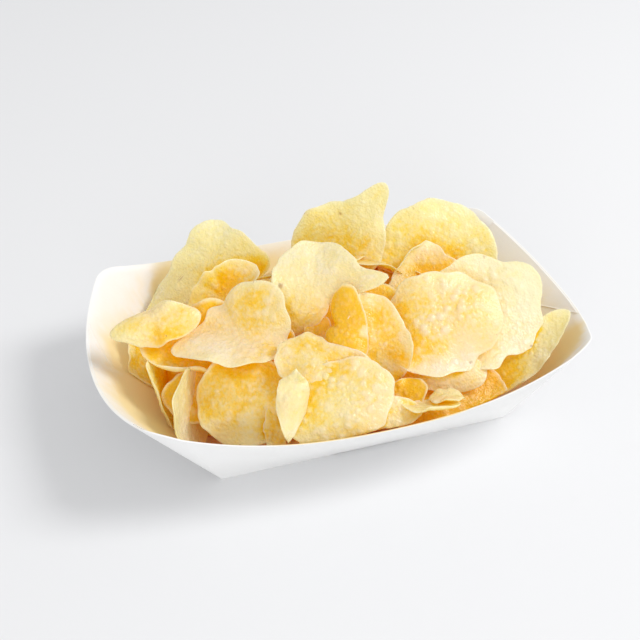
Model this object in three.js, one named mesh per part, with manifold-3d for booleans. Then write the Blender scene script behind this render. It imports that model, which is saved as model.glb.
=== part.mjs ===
// Paperboard food tray heaped with potato crisps, millimetres, +Z up.
// Origin: middle of the tray's flat underside. +X runs along the tray, -Y is its front side.
import * as THREE from 'three';
import { mergeVertices } from 'three/addons/utils/BufferGeometryUtils.js';
import Module from 'manifold-3d';

const wasm = await Module();
wasm.setup();

// ---------------------------------------------------------------- driving dimensions
const board = 0.6;                    // thickness of the paperboard
const baseHalfLength = 66;            // flat base of the tray
const baseHalfWidth = 46;
const rim = {
  cornerX: 96, cornerY: 62, cornerZ: 46.5,   // where the rim's four peaks would meet unrounded
  endX: 111, endZ: 36,                       // middle of each short end
  sideY: 76, sideZ: 35,                      // middle of each long side
  roundFrom: 0.88,                           // share of a wall's half that runs before the corner turns
  bow: 2.1, sag: 2.8,                        // how suddenly the rim bows out and dips towards a wall's middle
  cornerLift: 1,
};
const ear = {                         // glued flap inside each short end
  thickness: 0.5,
  reach: 8,                           // how far past the middle its cut edge runs
  start: 0.8,                         // share of the end's half width where it begins, by the corner
  lowest: 0.4, highest: 0.985,        // shares of the wall's height
  flareFrom: 0.8, flare: 112,         // its cut edge leans further over above this share
};
const footStep = 0.45;                // how far the inner face steps in at the foot, in board thicknesses
const rimStep = 1.3;                  // and at the rim, where the wall leans
const crispThickness = 1.6;
const clearance = 0.4;                // air kept between crisps and board
const sectorLength = 11.5;             // length of rim that one facet of a crisp covers
const seed = 11;
const weldWithin = 1e-4;              // points closer than this are one

// ---------------------------------------------------------------- small helpers
const rad = THREE.MathUtils.degToRad;
const vec = (x, y, z) => new THREE.Vector3(x, y, z);

function seededRandom(start) {
  let state = start >>> 0;
  return () => {
    state = (state + 0x6d2b79f5) >>> 0;
    let t = state;
    t = Math.imul(t ^ (t >>> 15), t | 1);
    t ^= t + Math.imul(t ^ (t >>> 7), t | 61);
    return ((t ^ (t >>> 14)) >>> 0) / 4294967296;
  };
}

function meshFrom(points, triangles) {
  const geometry = new THREE.BufferGeometry();
  geometry.setAttribute('position', new THREE.Float32BufferAttribute(points.flatMap((p) => p.toArray()), 3));
  geometry.setIndex(triangles.flat());
  return geometry;
}

function toSolid(geometry) {
  const bare = geometry.clone();
  bare.deleteAttribute('normal');
  bare.deleteAttribute('uv');
  const merged = mergeVertices(bare, weldWithin);
  const solid = new wasm.Manifold(new wasm.Mesh({
    numProp: 3,
    vertProperties: new Float32Array(merged.attributes.position.array),
    triVerts: new Uint32Array(merged.index.array),
  }));
  return solid;
}

function toGeometry(solid) {
  const mesh = solid.getMesh();
  const geometry = new THREE.BufferGeometry();
  geometry.setAttribute('position', new THREE.BufferAttribute(mesh.vertProperties, 3));
  geometry.setIndex(new THREE.BufferAttribute(mesh.triVerts, 1));
  return geometry;
}

// Keeps only the outermost shell: loose scraps go, and hollows sealed inside are filled.
function outerShell(geometry) {
  const index = geometry.index.array;
  const position = geometry.attributes.position;
  const parent = Array.from({ length: position.count }, (_, i) => i);
  const find = (i) => {
    let root = i;
    while (parent[root] !== root) root = parent[root];
    while (parent[i] !== root) [parent[i], i] = [root, parent[i]];
    return root;
  };
  for (let t = 0; t < index.length; t += 3) {
    parent[find(index[t])] = find(index[t + 1]);
    parent[find(index[t + 1])] = find(index[t + 2]);
  }
  const volume = new Map();
  const corner = [vec(), vec(), vec()];
  for (let t = 0; t < index.length; t += 3) {
    corner.forEach((c, k) => c.fromBufferAttribute(position, index[t + k]));
    const share = corner[0].dot(corner[1].clone().cross(corner[2])) / 6;
    const root = find(index[t]);
    volume.set(root, (volume.get(root) ?? 0) + share);
  }
  const largest = [...volume.entries()].sort((a, b) => b[1] - a[1])[0][0];
  const kept = [];
  for (let t = 0; t < index.length; t += 3) {
    if (find(index[t]) === largest) kept.push(index[t], index[t + 1], index[t + 2]);
  }
  const shell = new THREE.BufferGeometry();
  shell.setAttribute('position', position.clone());
  shell.setIndex(kept);
  return mergeVertices(shell, weldWithin / 10);
}

// ---------------------------------------------------------------- tray
// The rim dips in the middle of every wall and bows outwards there.
function sideRim(u) {
  const bow = Math.abs(u) ** rim.bow;
  const lift = Math.abs(u) ** rim.sag;
  return vec(rim.cornerX * u, rim.sideY - (rim.sideY - rim.cornerY) * bow, rim.sideZ + (rim.cornerZ - rim.sideZ) * lift);
}

function endRim(v) {
  const bow = Math.abs(v) ** rim.bow;
  const lift = v * v;
  return vec(rim.endX - (rim.endX - rim.cornerX) * bow, rim.cornerY * v, rim.endZ + (rim.cornerZ - rim.endZ) * lift);
}

function cornerRim(t) {   // from the side wall (t = 0) round to the end wall (t = 1)
  const start = sideRim(rim.roundFrom);
  const finish = endRim(rim.roundFrom);
  const peak = vec(rim.cornerX, rim.cornerY, rim.cornerZ + rim.cornerLift);
  return new THREE.QuadraticBezierCurve3(start, peak, finish).getPoint(t);
}

// One quarter of the wall, from the middle of a long side to the middle of an end,
// as pairs of a foot on the base's edge and the rim point straight up the wall from it.
function quarterWall() {
  const sideSteps = 9;
  const cornerSteps = 5;
  const endSteps = 6;
  const walls = [];
  for (let i = 0; i < sideSteps; i++) {
    const u = (rim.roundFrom * i) / sideSteps;
    walls.push({ foot: vec(baseHalfLength * u / rim.roundFrom, baseHalfWidth, 0), top: sideRim(u) });
  }
  for (let i = 0; i <= cornerSteps; i++) {
    walls.push({ foot: vec(baseHalfLength, baseHalfWidth, 0), top: cornerRim(i / cornerSteps) });
  }
  for (let i = endSteps - 1; i >= 0; i--) {
    const v = (rim.roundFrom * i) / endSteps;
    walls.push({ foot: vec(baseHalfLength, baseHalfWidth * v / rim.roundFrom, 0), top: endRim(v) });
  }
  return walls;
}

function trayColumns() {
  const quarter = quarterWall();
  const flip = (sx, sy) => quarter.map(({ foot, top }) => ({
    foot: vec(foot.x * sx, foot.y * sy, foot.z), top: vec(top.x * sx, top.y * sy, top.z),
  }));
  // anticlockwise seen from above, each quarter leaving out the column that the next one starts with
  return [
    ...flip(1, 1).reverse().slice(0, -1),
    ...flip(-1, 1).slice(0, -1),
    ...flip(-1, -1).reverse().slice(0, -1),
    ...flip(1, -1).slice(0, -1),
  ];
}

// The inner face of a wall: a little narrower foot on the floor's upper face, rim stepped in by the board.
function innerColumn({ foot, top }, thickness) {
  const inAtFoot = footStep * thickness;
  const outward = vec(top.x / rim.endX ** 2, top.y / rim.sideY ** 2, 0).normalize();
  return {
    foot: vec(foot.x * (1 - inAtFoot / baseHalfLength), foot.y * (1 - inAtFoot / baseHalfWidth), thickness),
    top: top.clone().addScaledVector(outward, -rimStep * thickness),
  };
}

function buildTrayShell() {
  const outer = trayColumns();
  const inner = outer.map((column) => innerColumn(column, board));
  const levels = 2;
  const n = outer.length;
  const points = [];
  const triangles = [];
  const ring = (columns, share) => {
    const first = points.length;
    columns.forEach(({ foot, top }) => points.push(foot.clone().lerp(top, share)));
    return first;
  };
  const strip = (a, b) => {
    for (let i = 0; i < n; i++) {
      const j = (i + 1) % n;
      triangles.push([a + i, a + j, b + j], [a + i, b + j, b + i]);
    }
  };
  const outerRings = [];
  const innerRings = [];
  for (let k = 0; k <= levels; k++) outerRings.push(ring(outer, k / levels));
  for (let k = 0; k <= levels; k++) innerRings.push(ring(inner, k / levels));
  for (let k = 0; k < levels; k++) {
    strip(outerRings[k], outerRings[k + 1]);
    strip(innerRings[k + 1], innerRings[k]);
  }
  strip(outerRings[levels], innerRings[levels]);
  const underside = points.push(vec(0, 0, 0)) - 1;
  const floor = points.push(vec(0, 0, board)) - 1;
  for (let i = 0; i < n; i++) {
    const j = (i + 1) % n;
    triangles.push([underside, outerRings[0] + j, outerRings[0] + i]);
    triangles.push([floor, innerRings[0] + i, innerRings[0] + j]);
  }
  return dropSlivers(meshFrom(points, triangles));
}

// The columns of a rounded corner share one foot, which leaves triangles with no area.
function dropSlivers(geometry) {
  const merged = mergeVertices(geometry, weldWithin);
  const index = merged.index.array;
  const kept = [];
  for (let t = 0; t < index.length; t += 3) {
    const [a, b, c] = index.slice(t, t + 3);
    if (a !== b && b !== c && c !== a) kept.push(a, b, c);
  }
  merged.setIndex(kept);
  return merged;
}

// A glued ear: a second layer inside the end wall, from the corner to a slanting cut edge.
function buildEar(mirrorX, mirrorY) {
  const across = 10;
  const up = 6;
  const points = [];
  const triangles = [];
  const layer = (depth) => {
    const first = points.length;
    for (let j = 0; j <= up; j++) {
      const height = ear.lowest + (ear.highest - ear.lowest) * (j / up);
      const edge = ear.reach + ear.flare * Math.max(0, height - ear.flareFrom);
      for (let i = 0; i <= across; i++) {
        const y = THREE.MathUtils.lerp(-rim.cornerY * ear.start, edge, i / across);
        const top = endRim(y / rim.cornerY);
        const foot = vec(baseHalfLength, baseHalfWidth * (y / rim.cornerY) / rim.roundFrom, 0);
        const { foot: innerFoot, top: innerTop } = innerColumn({ foot, top }, board);
        const p = innerFoot.lerp(innerTop, height);
        p.x -= depth;
        points.push(vec(p.x * mirrorX, p.y * mirrorY, p.z));
      }
    }
    return first;
  };
  const back = layer(-board / 2);   // sunk half way into the wall, so that the two join
  const face = layer(ear.thickness * rimStep);
  const flip = mirrorX * mirrorY > 0;
  const quad = (a, b, c, d) => {
    triangles.push(flip ? [a, b, c] : [a, c, b], flip ? [a, c, d] : [a, d, c]);
  };
  const at = (start, i, j) => start + j * (across + 1) + i;
  for (let j = 0; j < up; j++) {
    for (let i = 0; i < across; i++) {
      quad(at(face, i, j), at(face, i, j + 1), at(face, i + 1, j + 1), at(face, i + 1, j));
      quad(at(back, i, j), at(back, i + 1, j), at(back, i + 1, j + 1), at(back, i, j + 1));
    }
    quad(at(back, 0, j), at(back, 0, j + 1), at(face, 0, j + 1), at(face, 0, j));
    quad(at(back, across, j), at(face, across, j), at(face, across, j + 1), at(back, across, j + 1));
  }
  for (let i = 0; i < across; i++) {
    quad(at(back, i, 0), at(face, i, 0), at(face, i + 1, 0), at(back, i + 1, 0));
    quad(at(back, i, up), at(back, i + 1, up), at(face, i + 1, up), at(face, i, up));
  }
  return meshFrom(points, triangles);
}

function buildTray() {
  const shell = toSolid(buildTrayShell());
  const tray = shell.add(toSolid(buildEar(-1, 1))).add(toSolid(buildEar(1, -1)));
  return outerShell(toGeometry(tray));
}

// ---------------------------------------------------------------- one crisp
// A crisp is a thin fried slice: a rounded outline, cupped, saddled, twisted or curled at an edge.
//   at      middle of the slice          face   compass angle and rise of its upper side
//   spin    turn of its length about face, anticlockwise from level
//   size    length and width             square how boxy its outline is (2 is an ellipse)
//   egg     how much one end is fuller   bulges [direction, height, spread] of the outline
//   cup     lift of its ends and of its sides
//   lips    [direction, spread, height] of its turned-up rim
//   curls   [direction, distance where the curl starts, its radius, most degrees it turns through]
function crispAxes(face, spin) {
  const [compass, rise] = face.map(rad);
  const normal = vec(Math.cos(compass) * Math.cos(rise), Math.sin(compass) * Math.cos(rise), Math.sin(rise));
  const level = vec(0, 0, 1).cross(normal).normalize();
  const up = normal.clone().cross(level);
  const along = level.clone().multiplyScalar(Math.cos(rad(spin))).addScaledVector(up, Math.sin(rad(spin)));
  return { along, across: normal.clone().cross(along), normal };
}

function outlineRadius({ size, square = 2, egg = 0, bulges = [] }, angle) {
  const [a, b] = [size[0] / 2, size[1] / 2];
  const oval = (Math.abs(Math.cos(angle) / a) ** square + Math.abs(Math.sin(angle) / b) ** square) ** (-1 / square);
  return bulges.reduce((radius, [direction, height, spread]) => {
    return radius + height * nearness(angle, direction, spread);
  }, oval * (1 + egg * Math.cos(angle)));
}

// From 1 in a direction down to 0 well outside its spread.
function nearness(angle, direction, spread) {
  const turn = angle - rad(direction);
  const away = Math.atan2(Math.sin(turn), Math.cos(turn)) / rad(spread);
  return Math.exp(-away * away);
}

function curlOver(point, [direction, start, signedRadius, most]) {
  const toward = vec(Math.cos(rad(direction)), Math.sin(rad(direction)), 0);
  const beyond = point.x * toward.x + point.y * toward.y - start;
  if (beyond <= 0) return point;
  const radius = Math.abs(signedRadius);
  const side = Math.sign(signedRadius);
  const bend = Math.min(beyond / radius, rad(most));
  const straight = beyond - bend * radius;
  const lift = point.z;
  const reach = radius * Math.sin(bend) + straight * Math.cos(bend) - lift * Math.sin(bend) * side;
  const height = side * (radius * (1 - Math.cos(bend)) + straight * Math.sin(bend)) + lift * Math.cos(bend);
  return vec(point.x + (reach - beyond) * toward.x, point.y + (reach - beyond) * toward.y, height);
}

const lipPower = 6;                   // how close to the rim a lip begins to rise

// A point of the slice's middle layer: share runs from its centre (0) to its edge (1).
function crispPoint(crisp, share, angle) {
  const { size, at, face, spin = 0, cup = [0, 0], lips = [], curls = [] } = crisp;
  const radius = outlineRadius(crisp, angle) * share;
  const a = radius * Math.cos(angle);
  const b = radius * Math.sin(angle);
  const turnedUp = lips.reduce((sum, [direction, spread, height]) => (
    sum + height * nearness(angle, direction, spread) * share ** lipPower), 0);
  const lift = cup[0] * (2 * a / size[0]) ** 2 + cup[1] * (2 * b / size[1]) ** 2 + turnedUp;
  const p = curls.reduce(curlOver, vec(a, b, lift));
  const { along, across, normal } = crispAxes(face, spin);
  return vec(...at).addScaledVector(along, p.x).addScaledVector(across, p.y).addScaledVector(normal, p.z);
}

// ---------------------------------------------------------------- keeping the food off the board
// How far from the middle the inner face of a long wall and of an end is, at one height.
const middleRim = 40;                 // a height within the rim's range, to start from
const cornerFrom = 1.5;               // past this sum of the two shares the rounded corner stands further in
const cornerSlope = 8;

function wallReach(x, y, z) {
  let share = z / middleRim;
  let u = 0;
  for (let i = 0; i < 3; i++) {
    u = THREE.MathUtils.clamp(x / (baseHalfLength + (rim.cornerX - baseHalfLength) * share), -1, 1);
    share = z / sideRim(u).z;
  }
  const width = baseHalfWidth + share * (sideRim(u).y - baseHalfWidth);
  share = z / middleRim;
  let v = 0;
  for (let i = 0; i < 3; i++) {
    v = THREE.MathUtils.clamp(y / (baseHalfWidth + (rim.cornerY - baseHalfWidth) * share), -1, 1);
    share = z / endRim(v).z;
  }
  const length = baseHalfLength + share * (endRim(v).x - baseHalfLength);
  const corner = Math.max(0, Math.abs(u) + Math.abs(v) - cornerFrom) * cornerSlope;
  return { length: length - corner, width: width - corner };
}

const floorShare = 0.6;               // the gap over the floor, as a share of the level gap to a wall

function keepInside(point, gap) {
  const p = point.clone();
  p.z = Math.max(p.z, board + gap * floorShare);
  const { width } = wallReach(p.x, p.y, p.z);
  p.y = THREE.MathUtils.clamp(p.y, gap - width, width - gap);
  const { length } = wallReach(p.x, p.y, p.z);
  p.x = THREE.MathUtils.clamp(p.x, gap - length, length - gap);
  return p;
}

const foodGap = rimStep * (board + ear.thickness + clearance + crispThickness / 2);

// A closed slice: two faces half a thickness to either side of the middle layer, and a rim between.
function crispSolid(crisp) {
  const rimLength = (Math.PI / 2) * (crisp.size[0] + crisp.size[1]);
  const around = Math.max(8, Math.round(rimLength / (crisp.sectorLength ?? sectorLength)));
  const rings = crisp.curls ? 3 : 2;
  const middle = [keepInside(crispPoint(crisp, 0, 0), foodGap)];
  for (let r = 1; r <= rings; r++) {
    for (let i = 0; i < around; i++) {
      middle.push(keepInside(crispPoint(crisp, r / rings, (2 * Math.PI * i) / around), foodGap));
    }
  }
  const at = (r, i) => (r === 0 ? 0 : 1 + (r - 1) * around + (i % around));
  const cells = [];
  for (let i = 0; i < around; i++) {
    cells.push([at(0), at(1, i), at(1, i + 1)]);
    for (let r = 1; r < rings; r++) {
      cells.push([at(r, i), at(r + 1, i), at(r + 1, i + 1)], [at(r, i), at(r + 1, i + 1), at(r, i + 1)]);
    }
  }
  const normals = middle.map(() => vec(0, 0, 0));
  for (const [a, b, c] of cells) {
    const normal = middle[b].clone().sub(middle[a]).cross(middle[c].clone().sub(middle[a]));
    [a, b, c].forEach((k) => normals[k].add(normal));
  }
  const half = crispThickness / 2;
  const upper = middle.map((p, k) => p.clone().addScaledVector(normals[k].normalize(), half));
  const lower = middle.map((p, k) => p.clone().addScaledVector(normals[k], -half));
  const n = middle.length;
  const triangles = [];
  for (const [a, b, c] of cells) triangles.push([a, b, c], [a + n, c + n, b + n]);
  for (let i = 0; i < around; i++) {
    const [a, b] = [at(rings, i), at(rings, i + 1)];
    triangles.push([a, a + n, b + n], [a, b + n, b]);
  }
  return toSolid(meshFrom([...upper, ...lower], triangles));
}

// ---------------------------------------------------------------- the crisps that show from the front
const shownCrisps = {
  peakLeft: { at: [-44, 50, 48], face: [238, 42], spin: 12, size: [42, 34],
    bulges: [[212, 19, 15], [150, -4, 25], [90, 2, 22], [-20, 6, 26], [-120, 5, 25]], cup: [-2, 2],
    curls: [[-66, 3, -12, 35]] },
  troughLeft: { at: [-46, 22, 47], face: [246, 50], spin: 46, size: [40, 20], cup: [2, 8] },
  tongueLeft: { at: [-81, -3, 57], face: [236, 56], spin: 27, size: [37, 19], square: 1.6,
    bulges: [[182, 3, 14]], cup: [-2, -6] },
  cradle: { at: [-60, -12, 42], face: [246, 66], spin: -3, size: [62, 34], bulges: [[90, 6, 40]],
    cup: [2, 2], curls: [[-95, 10, 4, 120]] },
  wideLeft: { at: [-47, -13, 51], face: [229, 42], spin: 2, size: [42, 42], square: 2.2,
    bulges: [[65, 4, 20], [140, -6, 24], [175, -3, 15], [215, 7, 14], [-125, 3, 20]], cup: [-1, 0],
    curls: [[-88, 0, 4, 42]] },
  cornerLeft: { at: [-84, 18, 26], face: [290, 44], spin: 55, size: [36, 18], cup: [2, 3] },
  stripOne: { at: [-82, -13, 22], face: [343, 22], spin: 90, size: [40, 30], cup: [2, 3] },
  stripTwo: { at: [-75, -30, 25], face: [328, 16], spin: 80, size: [36, 37], egg: 0.1, cup: [2, 4] },
  frontUnder: { at: [-64, -24, 30], face: [262, 50], spin: 10, size: [40, 26], cup: [1, 1] },
  frontOval: { at: [-53, -39, 35], face: [248, 46], spin: 0, size: [41, 40], bulges: [[-30, -2, 22]],
    cup: [-2, -3], curls: [[0, 9, 10, 25]] },
  frontLow: { at: [-43, -51, 26], face: [255, 50], spin: 0, size: [9, 26], cup: [0, 2] },
  standCentre: { at: [-33, -23, 38], face: [215, 24], spin: 100, size: [32, 16], cup: [0, -3] },
  flap: { at: [-35, -54, 51], face: [262, 34], spin: -102, size: [31, 12], square: 1.2, egg: 0.6,
    cup: [0, -2] },
  taco: { at: [-23, -40, 50], face: [264, 64], spin: -6, size: [32, 28], square: 1.8,
    bulges: [[-2, 9, 14], [50, -3, 25]], cup: [0, -2], lips: [[-85, 40, -3]] },
  topCentre: { at: [-13, -7, 66], face: [246, 58], spin: 0, size: [34, 40],
    bulges: [[1, 10, 9], [1, 6, 22], [-45, -6, 24], [-108, 6, 20], [35, 2, 20]], cup: [2, 0],
    curls: [[-90, 0, -20, 45]] },
  backTriangle: { at: [13, 22, 64], face: [236, 26], spin: 36, size: [47, 38], egg: -0.15,
    bulges: [[27, 13, 15], [120, 2, 24], [-24, -2, 25]], cup: [0, 3] },
  darkTip: { at: [-15, -21, 46], face: [235, 50], spin: 90, size: [20, 12] },
  centreOval: { at: [7, -36, 48], face: [262, 36], spin: 95, size: [44, 27], bulges: [[115, -5, 18]],
    cup: [-2, 4] },
  deepStand: { at: [-7, -33, 56], face: [234, 44], spin: 104, size: [41, 19], bulges: [[50, -5, 26]],
    cup: [0, -3] },
  goldenMiddle: { at: [6, -14, 50], face: [250, 54], spin: 10, size: [44, 30], cup: [2, 2] },
  frontRound: { at: [-15, -58, 41], face: [255, 52], spin: 25, size: [48, 38], egg: -0.12,
    bulges: [[90, -2, 25]], cup: [-2, -3] },
  backRight: { at: [53, 10, 54], face: [248, 46], spin: -30, size: [55, 55], cup: [2, 2] },
  curlCentre: { at: [45, -2, 52], face: [256, 54], spin: 45, size: [40, 36], bulges: [[0, -6, 30]],
    curls: [[90, 12, 2, 100]] },
  rightBack: { at: [61, -29, 44], face: [264, 52], spin: -60, size: [53, 52], square: 2.2, egg: -0.08,
    bulges: [[98, 3, 25], [-7, -6, 25]], cup: [2, 4] },
  bigRight: { at: [40, -34, 52], face: [258, 50], spin: 15, size: [56, 46], egg: -0.1,
    bulges: [[-65, -2, 22]], cup: [-3, -4], lips: [[-115, 45, 3]] },
  lowerOne: { at: [2, -63, 33], face: [262, 50], spin: 0, size: [30, 13] },
  lowerTwo: { at: [12, -53, 31], face: [240, 50], spin: 30, size: [24, 15] },
  rimLower: { at: [31, -44, 37], face: [258, 58], spin: -15, size: [45, 22], cup: [-2, -3] },
  smallFlat: { at: [29, -62, 34], face: [82, 74], spin: 4, size: [15, 13], cup: [-1, 1] },
  thinEdge: { at: [20, -66, 33], face: [76, 64], spin: -5, size: [24, 15], cup: [2, 1] },
  darkLow: { at: [34, -51, 25], face: [262, 60], spin: 10, size: [52, 36] },
  lowFill: { at: [43, -53, 22], face: [250, 62], spin: 20, size: [36, 36] },
  rightInner: { at: [79, -40, 34], face: [236, 54], spin: 58, size: [56, 20], egg: -0.15,
    bulges: [[25, -4, 25]], cup: [0, 3] },
};

// The back of the heap: rows of crisps laid like shingles, each facing outwards and up.
const backVariety = { compass: 4, height: 3, turn: 18, rise: 9, spin: 60, length: 5, width: 4, cup: 3 };
const backCrisp = { middleX: 4, length: 46, width: 38, sideCup: -3, sectorLength: 15 };
const backRows = [
  { count: 8, from: 8, to: 172, reachX: 74, reachY: 50, height: 32, rise: 52 },
  { count: 6, from: 18, to: 162, reachX: 56, reachY: 36, height: 43, rise: 58 },
  { count: 4, from: 60, to: 150, reachX: 34, reachY: 26, height: 51, rise: 54 },
];

function backCrisps() {
  const random = seededRandom(seed);
  const vary = (amount) => (random() * 2 - 1) * amount;
  return backRows.flatMap(({ count, from, to, reachX, reachY, height, rise }) => (
    Array.from({ length: count }, (_, i) => {
      const compass = rad(from + (to - from) * (i / (count - 1)) + vary(backVariety.compass));
      const [x, y] = [backCrisp.middleX + reachX * Math.cos(compass), reachY * Math.sin(compass)];
      return {
        at: [x, y, height + vary(backVariety.height)],
        face: [THREE.MathUtils.radToDeg(compass) + vary(backVariety.turn), rise + vary(backVariety.rise)],
        spin: vary(backVariety.spin),
        size: [backCrisp.length + vary(backVariety.length), backCrisp.width + vary(backVariety.width)],
        cup: [vary(backVariety.cup), backCrisp.sideCup + vary(backVariety.cup * 2 / 3)],
        sectorLength: backCrisp.sectorLength,
      };
    })
  ));
}

// ---------------------------------------------------------------- the heap's core
// A lofted mound: each level is [height, half length, half width] of a rounded oblong.
const mounds = [
  { x: 6, y: 0, levels: [[2.4, 56, 38], [14, 66, 46], [25, 70, 50], [34, 60, 42], [42, 44, 30], [49, 26, 16]], top: 52 },
  { x: -60, y: 4, levels: [[2.4, 18, 26], [18, 24, 30], [32, 20, 24]], top: 38 },
  { x: 52, y: -22, levels: [[2.4, 14, 20], [20, 26, 24], [30, 22, 18]], top: 36 },
];

// Crisps that lie on nothing but the broken ones under them: the core rises to the middle of each.
const heldUp = ["troughLeft", "tongueLeft", "wideLeft", "flap", "frontRound", "centreOval", "bigRight", "rightInner"];
const riser = { foot: 14, footBelow: 24, waist: 3.4, waistBelow: 5 };   // half widths, and how far under the crisp

function riserUnder(name) {
  const [x, y, top] = shownCrisps[name].at;
  const { foot, footBelow, waist, waistBelow } = riser;
  return { x, y, levels: [[top - footBelow, foot, foot], [top - waistBelow, waist, waist]], top };
}

const oblong = 2.6;                   // 2 would make each level an ellipse

function moundSolid({ x, y, levels, top }) {
  const around = 18;
  const points = [];
  const triangles = [];
  for (const [z, a, b] of levels) {
    for (let i = 0; i < around; i++) {
      const angle = (2 * Math.PI * i) / around;
      const sum = Math.abs(Math.cos(angle) / a) ** oblong + Math.abs(Math.sin(angle) / b) ** oblong;
      const radius = sum ** (-1 / oblong);
      points.push(keepInside(vec(x + radius * Math.cos(angle), y + radius * Math.sin(angle), z), foodGap));
    }
  }
  const under = points.push(keepInside(vec(x, y, levels[0][0]), foodGap)) - 1;
  const peak = points.push(vec(x, y, top)) - 1;
  const last = (levels.length - 1) * around;
  for (let i = 0; i < around; i++) {
    const j = (i + 1) % around;
    triangles.push([under, j, i], [peak, last + i, last + j]);
    for (let k = 0; k < levels.length - 1; k++) {
      const low = k * around;
      const high = low + around;
      triangles.push([low + i, low + j, high + j], [low + i, high + j, high + i]);
    }
  }
  return toSolid(meshFrom(points, triangles));
}

function buildCrisps() {
  const solids = [
    ...[...mounds, ...heldUp.map(riserUnder)].map(moundSolid),
    ...Object.values(shownCrisps).map(crispSolid),
    ...backCrisps().map(crispSolid),
  ];
  const heap = solids.reduce((sum, solid) => sum.add(solid));
  return outerShell(toGeometry(heap));
}

// ---------------------------------------------------------------- the two pieces
const paperboard = new THREE.MeshStandardMaterial({ color: 0xf4f4f2, roughness: 0.75, metalness: 0 });
const friedPotato = new THREE.MeshStandardMaterial({ color: 0xf2d27a, roughness: 0.55, metalness: 0 });

function piece(name, geometry, material) {
  const mesh = new THREE.Mesh(geometry, material);
  mesh.name = name;
  return mesh;
}

const trayOfCrisps = new THREE.Group();
trayOfCrisps.add(piece('tray', buildTray(), paperboard));
trayOfCrisps.add(piece('crisps', buildCrisps(), friedPotato));

export default trayOfCrisps;
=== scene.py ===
import math

import bpy
import numpy as np
from mathutils.bvhtree import BVHTree
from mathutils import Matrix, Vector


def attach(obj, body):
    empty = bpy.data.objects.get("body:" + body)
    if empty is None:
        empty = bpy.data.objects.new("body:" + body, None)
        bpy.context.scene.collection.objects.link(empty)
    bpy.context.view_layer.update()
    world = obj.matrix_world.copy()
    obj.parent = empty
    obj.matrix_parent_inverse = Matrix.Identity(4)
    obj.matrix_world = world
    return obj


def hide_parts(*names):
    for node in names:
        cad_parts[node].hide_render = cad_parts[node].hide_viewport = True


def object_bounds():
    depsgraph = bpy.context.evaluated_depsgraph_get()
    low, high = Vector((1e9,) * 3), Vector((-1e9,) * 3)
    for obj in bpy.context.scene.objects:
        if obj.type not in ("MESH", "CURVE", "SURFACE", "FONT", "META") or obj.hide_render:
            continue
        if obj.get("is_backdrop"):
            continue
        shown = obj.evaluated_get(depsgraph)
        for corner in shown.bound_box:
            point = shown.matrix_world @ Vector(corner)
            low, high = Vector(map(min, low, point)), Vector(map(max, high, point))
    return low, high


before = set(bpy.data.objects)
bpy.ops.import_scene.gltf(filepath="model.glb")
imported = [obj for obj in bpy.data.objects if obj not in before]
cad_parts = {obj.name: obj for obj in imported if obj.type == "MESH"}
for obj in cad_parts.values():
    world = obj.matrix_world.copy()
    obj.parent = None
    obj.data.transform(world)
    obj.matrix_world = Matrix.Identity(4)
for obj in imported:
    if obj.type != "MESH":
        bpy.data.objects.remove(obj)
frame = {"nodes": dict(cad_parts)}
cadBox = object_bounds()
mm = 0.001                      # everything below is written in millimetres
print("frame loaded:", ", ".join(frame["nodes"]))


# Where the camera stands: it circles the aim at one distance
view = {
    "lens": 65,
    "sensor": 36,
    "aim": (1.9, 27.8, 18.0),
    "compass": -17.85,          # degrees round from the front
    "rise": 35.84,              # degrees above the floor
    "distance": 556.8,
}


def placeCamera():
    compass, rise = math.radians(view["compass"]), math.radians(view["rise"])
    flat = math.cos(rise)
    away = np.array([math.sin(compass) * flat, -math.cos(compass) * flat, math.sin(rise)])
    data = bpy.data.cameras.new("viewCamera")
    data.lens = view["lens"]
    data.sensor_width = view["sensor"]
    camera = bpy.data.objects.new("viewCamera", data)
    camera.location = (np.array(view["aim"]) + away * view["distance"]) * mm
    camera.rotation_euler = (math.pi / 2 - rise, 0, compass)
    bpy.context.scene.collection.objects.link(camera)
    bpy.context.scene.camera = camera
    print("camera placed")


# One large soft lamp on the right, a weaker one in front and a bright even room
light = {
    "keyCompass": -18,          # degrees from +X, towards the front when negative
    "keyRise": 47,
    "keyDistance": 1800,
    "keySize": 760,
    "keyWatts": 15.8,
    "room": 0.77,
    "roomColour": (0.985, 0.99, 1.0),
    "fillCompass": -110,
    "fillRise": 14,
    "fillDistance": 1900,
    "fillSize": 1200,
    "fillWatts": 10.5,
    "bounces": 40,              # thin slices pass light on to each other many times
}


def addLamp(lamp):
    compass, rise = math.radians(light[lamp + "Compass"]), math.radians(light[lamp + "Rise"])
    flat = math.cos(rise)
    toward = np.array([math.cos(compass) * flat, math.sin(compass) * flat, math.sin(rise)])
    data = bpy.data.lights.new(lamp + "Lamp", "AREA")
    data.shape = "DISK"
    data.size = light[lamp + "Size"] * mm
    data.energy = light[lamp + "Watts"]
    lampObject = bpy.data.objects.new(lamp + "Lamp", data)
    lampObject.location = toward * light[lamp + "Distance"] * mm
    lampObject.rotation_euler = (math.pi / 2 - rise, 0, compass + math.pi / 2)
    bpy.context.scene.collection.objects.link(lampObject)


def lightTheStage():
    world = bpy.data.worlds.new("softRoom")
    world.use_nodes = True
    glow = world.node_tree.nodes["Background"]
    glow.inputs["Color"].default_value = (*light["roomColour"], 1)
    glow.inputs["Strength"].default_value = light["room"]
    bpy.context.scene.world = world
    for lamp in ("key", "fill"):
        addLamp(lamp)
    scene = bpy.context.scene
    scene.view_settings.view_transform = "Standard"
    scene.cycles.max_bounces = light["bounces"]
    scene.cycles.diffuse_bounces = light["bounces"]
    scene.cycles.transmission_bounces = light["bounces"]
    print("lights set")


sharpFrom = 50                  # degrees between faces from which an edge stays sharp


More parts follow.
